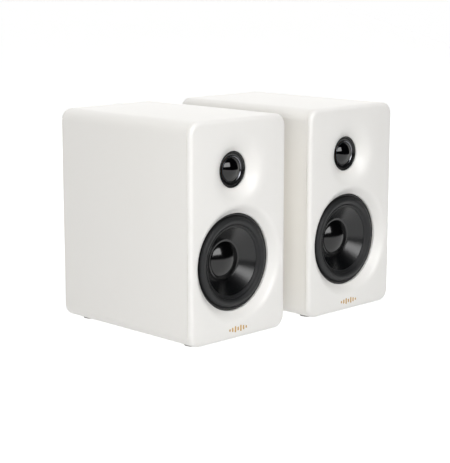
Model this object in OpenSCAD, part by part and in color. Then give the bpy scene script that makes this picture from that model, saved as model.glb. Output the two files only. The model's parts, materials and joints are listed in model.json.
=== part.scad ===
// A pair of compact two-way desktop speakers: a passive one on the left, an active one on the right.
// Lengths are in millimetres. Each speaker is drawn in its own coordinates: x = 0 on its centreline,
// y = 0 at its front face and growing towards the back, z = 0 on the table that it stands on.

/* [Overall] */
// Width of each speaker
body_w = 100; // [97:1:140]
// Height of each speaker with its feet
body_h = 168; // [162:1:240]
// Depth of each speaker's shell
body_d = 148; // [118:1:220]
// Free space between the two speakers
pair_gap = 28; // [22:1:200]

/* [Shell] */
// Thickness of the shell's walls
wall = 6; // [5:0.1:7.2]
// Radius of the shell's four long edges
corner_r = 9.5; // [8:0.5:16]
// Radius of the edge round the front face
front_edge_r = 3.2; // [1:0.1:3.3]
// Radius of the edge round the back
back_edge_r = 2; // [0.5:0.1:3]
// Depth of the front baffle's visible edge, up to the seam
seam_y = 4; // [4:0.1:6]
// Width of the shadow groove at the seam
groove_w = 0.5; // [0.2:0.1:0.6]
// Depth of the shadow groove
groove_d = 0.8; // [0.4:0.1:1.5]
// Height of the feet
foot_h = 1.5; // [1:0.1:4]
// Radius of the feet
foot_r = 6; // [4:0.5:9]
// Distance of each foot's centre from the shell's sides and ends
foot_inset = 15; // [12:1:25]

/* [Front baffle] */
// Overall thickness of the baffle
baffle_t = 12; // [11.4:0.1:16]
// Depth behind the face of the plane where both drivers seat
seat_y = 9.2; // [8.6:0.1:9.8]
// Height of the woofer's axis above the table
woofer_z = 59; // [56:0.5:60]
// Height of the tweeter's axis above the table
tweeter_z = 129; // [128:0.5:133]
// Radius of the woofer dish at the face
woofer_mouth_r = 43.5; // [40:0.1:45]
// Radius of the woofer's round opening
woofer_throat_r = 37; // [30:0.1:37.4]
// Depth of the woofer dish
woofer_dish_d = 6.3; // [4:0.1:7]
// Radius of the tweeter dish at the face
tweeter_mouth_r = 28.5; // [24:0.1:30]
// Radius of the tweeter's round opening
tweeter_throat_r = 14; // [13.6:0.1:15]
// Depth of the tweeter dish
tweeter_dish_d = 7.2; // [5:0.1:7.6]

/* [Woofer] */
// Space between the drivers' fixing screws and the woofer's bowl
ear_reach = 4; // [3:0.1:4.2]
// Thickness of the drivers' flanges
flange_t = 2; // [1.5:0.1:2.6]
// Width of the flat land that the surround is glued to
land_w = 1.6; // [1:0.1:2.2]
// Width of the surround's half roll
roll_w = 7.3; // [5:0.1:7.8]
// Depth behind the face of the cone's outer edge
cone_y = 7; // [6.5:0.1:8]
// Fall of the cone per millimetre of radius
cone_fall = 0.81; // [0.6:0.01:0.85]
// Radius of the dust cap at its rim
cap_r = 15.2; // [13:0.1:18]
// Rise of the dust cap above its rim
cap_rise = 5; // [3:0.1:6.5]
// Radius of the pole in the middle of the woofer's motor
pole_r = 9.5; // [8:0.1:10]
// Radius of the woofer's ferrite magnet
magnet_r = 28; // [20:0.5:30]
// Thickness of the woofer's ferrite magnet
magnet_t = 10; // [8:0.5:12]
// Depth behind the face of the basket's floor
basket_floor_y = 30; // [29:0.5:34]

/* [Tweeter] */
// Radius of the tweeter's flange
tweeter_flange_r = 24; // [22:0.1:24.5]
// Radius of the dome with its edge roll
dome_r = 10; // [9.6:0.1:10.4]
// Rise of the dome
dome_rise = 3.2; // [2:0.1:4]
// Depth behind the face of the dome's edge
dome_y = 8.6; // [8.4:0.1:8.8]

/* [Reflex port] */
// Inner radius of the port tube
port_r = 11; // [8:0.1:13.2]
// Length of the port tube
port_len = 66; // [40:1:80]
// Wall of the port tube
port_wall = 1.6; // [1.2:0.1:2.4]
// Height of the port's axis above the table
port_z = 136; // [134:0.5:140]

/* [Back panel] */
// Thickness of the back panel
panel_t = 6; // [5:0.1:7.2]
// Distance from the shell's back edge to the panel's face
panel_recess = 2; // [2:0.1:4]
// Width of the ledge that the panel rests on
ledge_w = 2.5; // [2:0.1:3]
// Space between the back panel and the circuit boards
board_gap = 14; // [13:0.5:18]
// Height of the amplifier board's middle above the table
amp_z = 66; // [64:1:68]
// Height of the knob, the button and the input sockets above the table
controls_z = 100; // [98:0.5:102]
// Height of the active speaker's output terminals above the table
output_z = 66; // [64:0.5:68]
// Height of the power inlet above the table
inlet_z = 29; // [26:0.5:31]
// Height of the passive speaker's terminals above the table
input_z = 40; // [28:0.5:50]

/* [Controls and sockets] */
// Radius of the volume knob
knob_r = 9; // [7:0.1:10.8]
// Length of the volume knob
knob_len = 10; // [8:0.1:14]
// Radius of the volume shaft
shaft_r = 3; // [2.5:0.1:3.2]
// Radius of the input button
button_r = 3; // [2.5:0.1:3.6]
// Travel of the input button
button_travel = 1.2; // [0.8:0.1:1.6]
// Radius of the audio jack's bore
jack_r = 1.8; // [1.76:0.01:1.85]
// Depth of the audio jack's bore
jack_len = 15; // [14:0.5:16]
// Width of the power rocker
rocker_w = 12; // [10:0.1:13]
// Height of the power rocker
rocker_h = 17; // [14:0.1:17.4]
// Tilt of the power rocker either way from level
rocker_tilt = 10; // [6:1:12]

/* [Terminals] */
// Width of each clip lever
lever_w = 12; // [9:0.1:14.4]
// Length of each clip lever from its pin
lever_len = 13; // [11:0.1:14]
// Lean of each clip lever at rest, away from upright
lever_lean = 30; // [26:1:34]
// Radius of the clip levers' pins
pin_r = 1.2; // [1:0.1:1.5]
// Radius of the wire holes
wire_hole_r = 1.5; // [1.2:0.1:2]

/* [Fasteners and leads] */
// Radius of a screw's shank
screw_r = 1.4; // [1.2:0.05:1.6]
// Length of a screw's shank
screw_len = 7; // [6:0.1:7.2]
// Radius of a screw's head
screw_head_r = 2.7; // [2.4:0.1:3]
// Height of a screw's head
screw_head_h = 1.7; // [1.4:0.1:2]
// Radius of an internal lead
lead_r = 0.8; // [0.6:0.05:1]

/* [Clearances] */
// Gap round pieces that are set into one another
fit_gap = 0.15; // [0.1:0.01:0.25]
// Gap round pieces that are dropped into a pocket
pocket_gap = 0.3; // [0.2:0.05:0.4]
// Gap round pieces that move without touching
air_gap = 0.35; // [0.3:0.01:0.4]
// Gap round a shaft or a pin that turns in its hole
running_gap = 0.06; // [0.04:0.01:0.08]

/* [Hidden] */
$fn = 64;

// How far a cutting tool runs past the face that it opens
past = 1;

// Shell
shell_h = body_h - foot_h;
shell_z = foot_h + shell_h / 2;
inner_w = body_w - 2 * wall;
inner_h = shell_h - 2 * wall;
inner_r = max(corner_r - wall, 1);
rebate_r = inner_r + ledge_w;
panel_face_y = body_d - panel_recess;
panel_y = panel_face_y - panel_t;
block_r = 5;
block_len = 12;

// The knob reaches furthest back, and the pair's depth is centred on the origin
knob_y = panel_face_y + 1;
overall_d = knob_y + knob_len;
front_y = -overall_d / 2;
speaker_x = (pair_gap + body_w) / 2;

// Woofer
gasket_t = 1;
land_t = 0.4;
bowl_r = woofer_throat_r - 0.4;
flange_half = bowl_r + ear_reach + 0.4;
woofer_screw_x = flange_half - 7;
bowl_wall = 1.4;
land_r = bowl_r + 0.1;
roll_outer_r = land_r - land_w;
roll_mid_r = roll_outer_r - roll_w / 2;
roll_t = 0.8;
cone_r = roll_outer_r - roll_w - pocket_gap;
former_r = pole_r + air_gap;
former_t = 0.25;
winding_t = 0.55;
gap_r = former_r + former_t + winding_t + air_gap;
top_plate_t = 4;
top_plate_r = magnet_r - 4;
yoke_t = 4;
cone_t = 0.9;
neck_r = former_r + former_t;
shelf_y = basket_floor_y - 6;
shelf_r = top_plate_r - 2;
magnet_y = basket_floor_y + top_plate_t;
yoke_y = magnet_y + magnet_t;

// Tweeter
dome_wall = 0.4;
edge_roll = 0.7;
coil_r = dome_r - edge_roll - 0.3;
coil_t = 0.5;
cup_y = seat_y + flange_t;
cup_bore_r = coil_r + coil_t + air_gap;
cup_wall = 4.2;
pole_plate_r = coil_r - air_gap;
pole_plate_t = 2;
tweeter_magnet_t = 4;
tweeter_screw_r = tweeter_flange_r - 4.5;

// Port
port_flange_r = port_r + 5;
port_flange_t = 1.5;

// Boards
board_t = 1.6;
board_y = panel_y - board_gap;
amp_w = 76;
amp_h = 100;
crossover_z = 90;
crossover_w = 58;
crossover_h = 40;
post_r = 3.2;
post_inset = 5;

// Controls on the active speaker's back, across the panel
knob_x = -25;
button_x = -6;
sockets_x = 20;
jack_x = 12;
data_x = 28;
sockets_w = 34;
sockets_h = 16;
bushing_wall = 1.2;
rocker_x = -13;
inlet_x = 11;
inlet_w = 50;
inlet_h = 26;
rocker_pin_r = 1;

// Terminals
pocket_w = lever_w + 0.8;
clip_pitch = pocket_w + 4;
cup_w = clip_pitch + pocket_w + 5;
cup_h = 30;
cup_depth = 12;
plate_t = 2;
pivot_in = 6;
pivot_down = 3;

// Fasteners
pilot_r = screw_r + 0.05;
clear_r = screw_r + 0.3;

LEFT = -1;
RIGHT = 1;

// Moves what is drawn in a speaker's own coordinates to that speaker's place
module at(side) translate([side * speaker_x, front_y, 0]) children();

// Places a driver, drawn about its own axis, in its speaker
module at_woofer(side) at(side) translate([0, 0, woofer_z]) children();
module at_tweeter(side) at(side) translate([0, 0, tweeter_z]) children();

// Extrudes an outline drawn in x and z, from depth y over thickness t
module plate(y, t) translate([0, y + t, 0]) rotate([90, 0, 0]) linear_extrude(t) children();

// Revolves a section drawn as radius and depth about an axis that runs front to back
module turned(x = 0, z = 0) translate([x, 0, z]) rotate([-90, 0, 0]) rotate_extrude() children();

// A cylinder that runs from depth y back over length l
module rod(r, y, l, x = 0, z = 0) translate([x, y, z]) rotate([-90, 0, 0]) cylinder(r = r, h = l);

// A ring that runs from depth y back over length l
module tube(r_out, r_in, y, l) difference() {
    rod(r_out, y, l);
    rod(r_in, y - past, l + 2 * past);
}

module rounded_rect(w, h, r) {
    square([w - 2 * r, h], center = true);
    square([w, h - 2 * r], center = true);
    for (sx = [-1, 1], sz = [-1, 1]) translate([sx * (w / 2 - r), sz * (h / 2 - r)]) circle(r = r);
}

// Copies what is drawn in one corner to all four
module four_ways() for (mx = [0, 1], mz = [0, 1]) mirror([mx, 0, 0]) mirror([0, 0, mz]) children();

// Section across a block's edge, from the centre of its corner outwards, its front rounded by e
module edge_section(r, t, e) {
    square([r - e, t]);
    translate([0, e]) square([r, t - e]);
    intersection() {
        translate([r - e, e]) circle(r = e);
        translate([r - e, 0]) square(e);
    }
}

// A block with round corners whose edge at y = 0 is rounded by e
module eased_block(w, h, r, t, e) {
    plate(0, t) square([w - 2 * r, h - 2 * r], center = true);
    for (m = [0, 1]) mirror([m, 0, 0])
        translate([w / 2 - r, 0, 0]) linear_extrude(h - 2 * r, center = true) edge_section(r, t, e);
    for (m = [0, 1]) mirror([0, 0, m])
        translate([0, 0, h / 2 - r]) rotate([0, -90, 0])
            linear_extrude(w - 2 * r, center = true) edge_section(r, t, e);
    four_ways() translate([w / 2 - r, 0, r - h / 2]) rotate([-90, 0, 0])
        rotate_extrude(angle = 90) edge_section(r, t, e);
}

// Positions of fasteners
module at_woofer_screws() for (sx = [-1, 1], sz = [-1, 1])
    translate([sx * woofer_screw_x, 0, woofer_z + sz * woofer_screw_x]) children();
module at_tweeter_screws() for (a = [45:90:315])
    translate([tweeter_screw_r * cos(a), 0, tweeter_z + tweeter_screw_r * sin(a)]) children();
module at_panel_screws() for (sx = [-1, 1], sz = [-1, 1])
    translate([sx * (inner_w / 2 - block_r + 1), 0, shell_z + sz * (inner_h / 2 - block_r + 1)])
        children();
module at_board_posts(w, h, z) for (sx = [-1, 1], sz = [-1, 1])
    translate([sx * (w / 2 - post_inset), 0, z + sz * (h / 2 - post_inset)]) children();

// Shell and baffle

// A round block in each rear corner takes the back panel's screws
module cabinet() color("#e6e3dd") difference() {
    union() {
        difference() {
            translate([0, body_d, shell_z]) mirror([0, 1, 0])
                eased_block(body_w, shell_h, corner_r, body_d - seam_y, back_edge_r);
            translate([0, 0, shell_z]) {
                plate(seam_y - past, body_d) rounded_rect(inner_w, inner_h, inner_r);
                plate(panel_y, body_d)
                    rounded_rect(inner_w + 2 * ledge_w, inner_h + 2 * ledge_w, rebate_r);
            }
        }
        at_panel_screws() rod(block_r, panel_y - block_len, block_len);
    }
    at_panel_screws() rod(pilot_r, panel_face_y - screw_len - 0.3, screw_len);
}

// The dish widens evenly from the woofer's round opening to the face
module woofer_dish() turned(z = woofer_z) polygon([
    [0, -past], [woofer_mouth_r + past, -past], [woofer_mouth_r, 0], [woofer_throat_r, woofer_dish_d],
    [woofer_throat_r, seat_y + past], [0, seat_y + past]
]);

// The dish's wall is part of an ellipse: nearly flat at the face, upright at the tweeter's opening
dish_start = 16;
dish_steps = 14;
function dish_point(a) = [
    tweeter_mouth_r - (tweeter_mouth_r - tweeter_throat_r) * (sin(a) - sin(dish_start)) / (1 - sin(dish_start)),
    tweeter_dish_d * (1 - cos(a) / cos(dish_start))
];
module tweeter_dish() turned(z = tweeter_z) polygon([
    [0, -past], [tweeter_mouth_r + past, -past],
    for (i = [0:dish_steps]) dish_point(dish_start + (90 - dish_start) * i / dish_steps),
    [tweeter_throat_r, seat_y + past], [0, seat_y + past]
]);

module front_baffle() color("#ebe8e3") difference() {
    translate([0, 0, shell_z]) {
        eased_block(body_w, shell_h, corner_r, seam_y - groove_w, front_edge_r);
        plate(seam_y - groove_w, groove_w)
            rounded_rect(body_w - 2 * groove_d, shell_h - 2 * groove_d, corner_r - groove_d);
        plate(seam_y, baffle_t - seam_y)
            rounded_rect(inner_w - 2 * fit_gap, inner_h - 2 * fit_gap, inner_r);
    }
    woofer_dish();
    tweeter_dish();
    translate([0, 0, woofer_z]) plate(seat_y, baffle_t)
        rounded_rect(2 * (flange_half + pocket_gap), 2 * (flange_half + pocket_gap), 6);
    rod(tweeter_flange_r + pocket_gap, seat_y, baffle_t, z = tweeter_z);
    at_woofer_screws() rod(pilot_r, seat_y + flange_t - screw_len - 0.3, screw_len);
    at_tweeter_screws() rod(pilot_r, seat_y + flange_t - screw_len - 0.3, screw_len);
}

module feet() color("#3c3c3e") for (sx = [-1, 1], y = [foot_inset, body_d - foot_inset])
    translate([sx * (body_w / 2 - foot_inset), y, 0]) cylinder(r = foot_r, h = foot_h);

// Woofer, drawn about its own axis

module woofer_basket() color("#2b2c2e") difference() {
    union() {
        plate(seat_y, flange_t) rounded_rect(2 * flange_half, 2 * flange_half, 6);
        turned() polygon([
            [bowl_r - 2.6, seat_y], [bowl_r, seat_y], [bowl_r, seat_y + flange_t],
            [shelf_r + 4, shelf_y + bowl_wall], [shelf_r, shelf_y + bowl_wall],
            [shelf_r, basket_floor_y], [gap_r + 0.4, basket_floor_y],
            [gap_r + 0.4, basket_floor_y - bowl_wall], [shelf_r - bowl_wall, basket_floor_y - bowl_wall],
            [shelf_r - bowl_wall, shelf_y], [shelf_r + 2.6, shelf_y]
        ]);
        translate([-6, shelf_y + bowl_wall, -shelf_r - 12]) cube([12, 1.6, 14]);
    }
    rod(bowl_r - 2.6, seat_y - past, flange_t + past);
    for (a = [45:90:315]) rotate([0, a, 0])
        translate([shelf_r + 4.6, seat_y + flange_t + 1.5, -8]) cube([magnet_r, 8.5, 16]);
    for (sx = [-1, 1], sz = [-1, 1]) rod(clear_r, 0, baffle_t, sx * woofer_screw_x, sz * woofer_screw_x);
}

module woofer_gasket_ring() color("#1d1d1f")
    tube(land_r, roll_outer_r + 0.1, seat_y - land_t - gasket_t, gasket_t);

module woofer_surround() color("#2e2f32") {
    turned() difference() {
        translate([roll_mid_r, seat_y - land_t]) circle(r = roll_w / 2);
        translate([roll_mid_r, seat_y - land_t]) circle(r = roll_w / 2 - roll_t);
        translate([0, seat_y - land_t]) square([magnet_r * 2, magnet_r]);
    }
    tube(land_r, roll_outer_r - roll_t, seat_y - land_t, land_t);
}

// Depth of the cone's front at a radius
function cone_front(r) = cone_y + (cone_r - r) * cone_fall;

module woofer_cone() color("#3a3b3f") turned() polygon([
    [cone_r, cone_front(cone_r)], [cone_r, cone_front(cone_r) + cone_t],
    [neck_r + cone_t, cone_front(neck_r + cone_t) + cone_t], [neck_r + cone_t, cone_front(neck_r) + 2],
    [neck_r, cone_front(neck_r) + 2], [neck_r, cone_front(neck_r)]
]);

// A thin spherical cap whose rim is trimmed to lie on the cone
cap_sphere_r = (cap_r * cap_r + cap_rise * cap_rise) / (2 * cap_rise);
cap_apex_y = cone_front(cap_r) - cap_rise;
module woofer_dust_cap() color("#0c0c0e") difference() {
    translate([0, cap_apex_y + cap_sphere_r, 0]) sphere(r = cap_sphere_r);
    translate([0, cap_apex_y + cap_sphere_r, 0]) sphere(r = cap_sphere_r - 0.5);
    turned() polygon([
        [0, cone_front(0)], [cap_sphere_r * 2, cone_front(cap_sphere_r * 2)],
        [cap_sphere_r * 2, cap_sphere_r * 3], [0, cap_sphere_r * 3]
    ]);
}

// Three waves between the former and the basket's shelf
spider_r = shelf_r + 2.2;
spider_hole_r = neck_r + pocket_gap;
spider_waves = 3;
spider_t = 0.5;
function spider_line(dy) = [for (i = [0:4 * spider_waves]) [
    spider_hole_r + 1 + (spider_r - 3 - spider_hole_r) * i / (4 * spider_waves),
    shelf_y - spider_t + dy - 0.7 * abs(sin(45 * i))
]];
module woofer_spider() color("#c79a4b") turned() polygon(concat(
    [[spider_hole_r, shelf_y - spider_t]], spider_line(0), [[spider_r, shelf_y - spider_t], [spider_r, shelf_y]],
    [for (i = [4 * spider_waves:-1:0]) spider_line(spider_t)[i]], [[spider_hole_r, shelf_y]]
));

coil_end_y = magnet_y + 4;
module woofer_voice_coil() color("#b4703a") {
    tube(neck_r, former_r, cone_front(neck_r) - 1, coil_end_y - cone_front(neck_r) + 1);
    tube(neck_r + winding_t, former_r, basket_floor_y + 0.5, coil_end_y - basket_floor_y - 0.5);
}

module woofer_top_plate() color("#8d9094") tube(top_plate_r, gap_r, basket_floor_y, top_plate_t);

module woofer_magnet() color("#4b4c50") tube(magnet_r, gap_r + 2, magnet_y, magnet_t);

module woofer_yoke() color("#8d9094") {
    rod(top_plate_r, yoke_y, yoke_t);
    rod(pole_r, basket_floor_y - 0.5, yoke_y - basket_floor_y + 0.5 + past);
}

// Tweeter, drawn about its own axis

ring_front_y = 8;
module tweeter_faceplate() color("#17171a") difference() {
    union() {
        rod(tweeter_flange_r, seat_y, flange_t);
        rod(tweeter_throat_r - 0.1, ring_front_y, seat_y - ring_front_y + past);
    }
    rod(tweeter_throat_r - 1.5, 0, ring_front_y + 0.7);
    rod(dome_r + air_gap, 0, baffle_t + past);
    for (a = [45:90:315]) rod(clear_r, 0, baffle_t, tweeter_screw_r * cos(a), tweeter_screw_r * sin(a));
}

dome_base_r = dome_r - edge_roll;
dome_sphere_r = (dome_base_r * dome_base_r + dome_rise * dome_rise) / (2 * dome_rise);
module tweeter_dome() color("#0a0a0c") {
    difference() {
        translate([0, dome_y - dome_rise + dome_sphere_r, 0]) sphere(r = dome_sphere_r);
        translate([0, dome_y - dome_rise + dome_sphere_r, 0]) sphere(r = dome_sphere_r - dome_wall);
        rod(dome_sphere_r * 2, dome_y, dome_sphere_r * 3);
    }
    tube(dome_r, dome_base_r - 0.5, dome_y, dome_wall);
}

module tweeter_voice_coil() color("#b4703a") tube(coil_r + coil_t, coil_r, dome_y + dome_wall, 6);

module tweeter_pole_plate() color("#8d9094") rod(pole_plate_r, cup_y, pole_plate_t);

module tweeter_magnet() color("#a9abb0") rod(pole_plate_r - 0.3, cup_y + pole_plate_t, tweeter_magnet_t);

cup_floor_y = cup_y + pole_plate_t + tweeter_magnet_t;
module tweeter_yoke() color("#77797d") difference() {
    rod(cup_bore_r + cup_wall, cup_y, cup_floor_y - cup_y + 2);
    rod(cup_bore_r, cup_y - past, cup_floor_y - cup_y + past);
}

// Reflex port: a tube with a flared mouth and a flange on the panel's face

flare_r = 3;
port_end_y = panel_face_y + port_flange_t - port_len;
module port_tube() color("#1f1f22") turned(z = port_z) difference() {
    union() {
        translate([0, port_end_y]) square([port_r + port_wall, port_len]);
        translate([0, panel_face_y]) square([port_flange_r, port_flange_t]);
    }
    translate([-past, port_end_y - past]) square([port_r + past, port_len + 2 * past]);
    difference() {
        translate([port_r, panel_face_y + port_flange_t - flare_r])
            square([flare_r, flare_r + past]);
        translate([port_r + flare_r, panel_face_y + port_flange_t - flare_r]) circle(r = flare_r);
    }
}

// Back panels

module panel_blank() {
    translate([0, 0, shell_z]) plate(panel_y, panel_t) rounded_rect(
        inner_w + 2 * ledge_w - 2 * fit_gap, inner_h + 2 * ledge_w - 2 * fit_gap, rebate_r);
}

module port_hole() rod(port_r + port_wall + fit_gap, panel_y - past, panel_t + 2 * past, z = port_z);

module panel_screw_holes() at_panel_screws() rod(clear_r, panel_y - past, panel_t + 2 * past);

module terminal_hole(z) translate([0, 0, z]) plate(panel_y - past, panel_t + 2 * past)
    square([cup_w + 2 * fit_gap, cup_h + 2 * fit_gap], center = true);

module board_post() difference() {
    rod(post_r, board_y, panel_y - board_y + 0.5);
    rod(pilot_r, board_y - past, screw_len + past);
}

module left_back_panel() color("#242427") difference() {
    union() {
        panel_blank();
        at_board_posts(crossover_w, crossover_h, crossover_z) board_post();
    }
    port_hole();
    panel_screw_holes();
    terminal_hole(input_z);
}

module right_back_panel() color("#242427") difference() {
    union() {
        panel_blank();
        at_board_posts(amp_w, amp_h, amp_z) board_post();
    }
    port_hole();
    panel_screw_holes();
    terminal_hole(output_z);
    rod(shaft_r + running_gap + bushing_wall + fit_gap, panel_y - past, panel_t + 2 * past, knob_x, controls_z);
    rod(button_r + air_gap, panel_y - past, panel_t + 2 * past, button_x, controls_z);
    translate([sockets_x, 0, controls_z]) plate(panel_y - past, panel_t + 2 * past)
        square([sockets_w - 4 + 2 * fit_gap, sockets_h - 4 + 2 * fit_gap], center = true);
    translate([0, 0, inlet_z]) plate(panel_y - past, panel_t + 2 * past)
        square([inlet_w - 4 + 2 * fit_gap, inlet_h - 4 + 2 * fit_gap], center = true);
}

// Spring-clip terminals, drawn about the block's middle

module at_clip(s) translate([s * clip_pitch / 2, 0, 0]) children();
module at_clips() for (s = [LEFT, RIGHT]) at_clip(s) children();
module at_terminals(side) at(side) translate([0, 0, side == LEFT ? input_z : output_z]) children();

module terminal_block() color("#1b1b1e") difference() {
    union() {
        plate(panel_face_y, plate_t) rounded_rect(cup_w + 8, cup_h + 8, 3);
        plate(panel_face_y - cup_depth, cup_depth + past) square([cup_w, cup_h], center = true);
    }
    at_clips() {
        translate([-pocket_w / 2, panel_face_y - cup_depth + 1.5, -7]) cube([pocket_w, cup_depth + past + plate_t, 20]);
        translate([0, panel_face_y + plate_t - pivot_in, -pivot_down]) rotate([0, 90, 0])
            cylinder(r = pin_r + running_gap, h = pocket_w + 3.4, center = true);
        rod(wire_hole_r, panel_face_y + plate_t - 10, 10 + past, z = -11);
    }
}

module clip_lever(colour) color(colour)
    translate([0, panel_face_y + plate_t - pivot_in, -pivot_down]) rotate([-lever_lean, 0, 0]) {
        rotate([0, 90, 0]) cylinder(r = 2.2, h = lever_w, center = true);
        rotate([0, 90, 0]) cylinder(r = pin_r, h = pocket_w + 3, center = true);
        translate([-lever_w / 2, -1.4, 0]) cube([lever_w, 2.8, lever_len]);
        translate([0, 1.4, lever_len - 2.2]) rotate([0, 90, 0])
            cylinder(r = 2.2, h = lever_w, center = true);
    }

// Circuit boards, drawn in the speaker's own coordinates

module board(w, h, z) translate([0, 0, z]) difference() {
    plate(board_y - board_t, board_t) square([w, h], center = true);
    for (sx = [-1, 1], sz = [-1, 1])
        rod(clear_r, board_y - board_t - past, board_t + 2 * past,
            sx * (w / 2 - post_inset), sz * (h / 2 - post_inset));
}

module on_board(r, h, x, z) rod(r, board_y - board_t - h, h + board_t / 2, x, z);

module crossover_board() {
    color("#2f6b46") board(crossover_w, crossover_h, crossover_z);
    color("#b4703a") difference() {
        on_board(9, 11, -12, crossover_z);
        on_board(4, 12, -12, crossover_z);
    }
    color("#d9c9a4") for (dz = [-8, 8]) on_board(5, 14, 10, crossover_z + dz);
}

// The amplifier board carries the volume potentiometer and the input switch on its back
pot_w = 12;
switch_y = 7;
module amp_board() {
    color("#2f6b46") board(amp_w, amp_h, amp_z);
    color("#8d9094") difference() {
        union() {
            translate([knob_x, 0, controls_z]) plate(board_y - board_t / 2, board_gap - 2 + board_t / 2)
                square(pot_w, center = true);
            rod(shaft_r + running_gap + bushing_wall, board_y, panel_face_y - board_y + 0.5, knob_x, controls_z);
        }
        rod(shaft_r + running_gap, board_y + 4, body_d, knob_x, controls_z);
    }
    color("#2a2a2c") translate([button_x, 0, controls_z]) plate(board_y - board_t / 2, switch_y + board_t / 2)
        square(7, center = true);
    color("#c9cbce") {
        translate([20, 0, amp_z + 14]) plate(board_y - board_t - 3, 3 + board_t / 2) square([24, 34], center = true);
        for (i = [0:4]) translate([10 + 5 * i, 0, amp_z + 14])
            plate(board_y - board_t - 18, 17) square([1.6, 34], center = true);
    }
    color("#20242c") for (dx = [0, 14]) on_board(6, 20, -26 + dx, amp_z + 12);
    color("#20242c") on_board(4, 12, -26, amp_z + 26);
}

transformer_w = 34;
transformer_h = 28;
module transformer() {
    color("#5b5d61") translate([-14, 0, amp_z - 26]) difference() {
        plate(board_y - board_t - 24, 24) square([transformer_w, transformer_h], center = true);
        for (s = [-1, 1]) translate([s * 11, 0, 0]) plate(board_y - board_t - 25, 26)
            square([5, 16], center = true);
    }
    color("#d8b24a") translate([-14, 0, amp_z - 26]) plate(board_y - board_t - 26, 24.5)
        rounded_rect(15.9, 15.9, 4);
}

// Controls and sockets of the active speaker

flute_count = 24;
module volume_knob() color("#2b2b2e") translate([knob_x, 0, controls_z]) difference() {
    union() {
        rod(knob_r, knob_y, knob_len);
        rod(shaft_r, board_y + 5, knob_y - board_y - 4);
    }
    for (i = [0:flute_count - 1]) rotate([0, i * 360 / flute_count, 0])
        rod(0.6, knob_y + 2, knob_len, knob_r + 0.2);
    translate([-0.6, knob_y + knob_len - 0.8, knob_r * 0.35]) cube([1.2, 2, knob_r]);
}

// The collar behind the panel keeps the button in, and the stem stops short of the switch
collar_gap = 0.2;
module input_button() color("#c9cbce") translate([button_x, 0, controls_z]) {
    rod(button_r, panel_y - collar_gap - past, panel_t + collar_gap + past + 2.2);
    rod(button_r + 1.4, panel_y - collar_gap - 2, 2);
    rod(button_r - 1, board_y + switch_y + button_travel + 0.2, panel_y - board_y - switch_y - button_travel - 1);
}

module input_sockets() color("#19191c") difference() {
    translate([sockets_x, 0, controls_z]) {
        plate(panel_face_y, 1.5) rounded_rect(sockets_w, sockets_h, 2);
        plate(board_y, panel_face_y - board_y + 0.5) square([sockets_w - 4, sockets_h - 4], center = true);
    }
    rod(jack_r, panel_face_y + 1.5 - jack_len, jack_len + past, jack_x, controls_z);
    translate([data_x, 0, controls_z]) difference() {
        plate(panel_face_y + 1.5 - 7, 7 + past) rounded_rect(8.9, 3.2, 1.5);
        plate(panel_face_y + 1.5 - 7 - past, 7) square([6.6, 0.7], center = true);
    }
}

// One housing holds the mains inlet and the power rocker
inlet_depth = 13;
rocker_pivot_y = panel_face_y + plate_t - 3;
rocker_room = 0.4;
module power_inlet() color("#151517") translate([0, 0, inlet_z]) {
    difference() {
        union() {
            plate(panel_face_y, plate_t) rounded_rect(inlet_w, inlet_h, 3);
            plate(panel_face_y - inlet_depth, inlet_depth + past) square([inlet_w - 4, inlet_h - 4], center = true);
        }
        translate([rocker_x, 0, 0]) {
            plate(panel_face_y - 9, 12) square([rocker_w + 2 * rocker_room, rocker_h + 1.6], center = true);
            translate([0, rocker_pivot_y, 0]) rotate([0, 90, 0])
                cylinder(r = rocker_pin_r + running_gap, h = rocker_w + 2 * rocker_room + 3, center = true);
        }
        translate([inlet_x, 0, 0]) plate(panel_face_y - 10, 10 + plate_t + past) rounded_rect(16.4, 8.8, 4.3);
    }
    for (s = [-1, 1]) rod(1.2, panel_face_y - 10 - past, 9, inlet_x + s * 4.3);
}

// A shallow V of two faces that meet above the pin, drawn at the end of its tilt
module power_rocker() color("#26262a") translate([rocker_x, rocker_pivot_y, inlet_z]) rotate([-rocker_tilt, 0, 0]) {
    rotate([90, 0, 90]) linear_extrude(rocker_w, center = true) polygon([
        [-3, -3], [-3, 3], [0, rocker_h / 2 - 0.6], [3.4, rocker_h / 2 - 0.6],
        [1.6, 0], [3.4, 0.6 - rocker_h / 2], [0, 0.6 - rocker_h / 2]
    ]);
    rotate([0, 90, 0]) cylinder(r = rocker_pin_r, h = rocker_w + 2 * rocker_room + 2.4, center = true);
}

// Every screw has the same shank and pan head. This one is driven towards the front
module screw(y) {
    rod(screw_r, y - screw_len, screw_len + 0.5);
    difference() {
        rod(screw_head_r, y, screw_head_h);
        for (a = [0, 90]) rotate([0, a, 0])
            translate([-1.7, y + screw_head_h - 0.9, -0.35]) cube([3.4, past + 0.9, 0.7]);
    }
}

module common_screws() {
    at_woofer_screws() screw(seat_y + flange_t);
    at_tweeter_screws() screw(seat_y + flange_t);
    at_panel_screws() screw(panel_face_y);
}

// A board's screws go the other way, into the back panel's posts
module board_screws(w, h, z) at_board_posts(w, h, z)
    translate([0, 2 * (board_y - board_t), 0]) mirror([0, 1, 0]) screw(board_y - board_t);

module left_screws() color("#9a9ca1") {
    common_screws();
    board_screws(crossover_w, crossover_h, crossover_z);
}

module right_screws() color("#9a9ca1") {
    common_screws();
    board_screws(amp_w, amp_h, amp_z);
}

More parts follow.
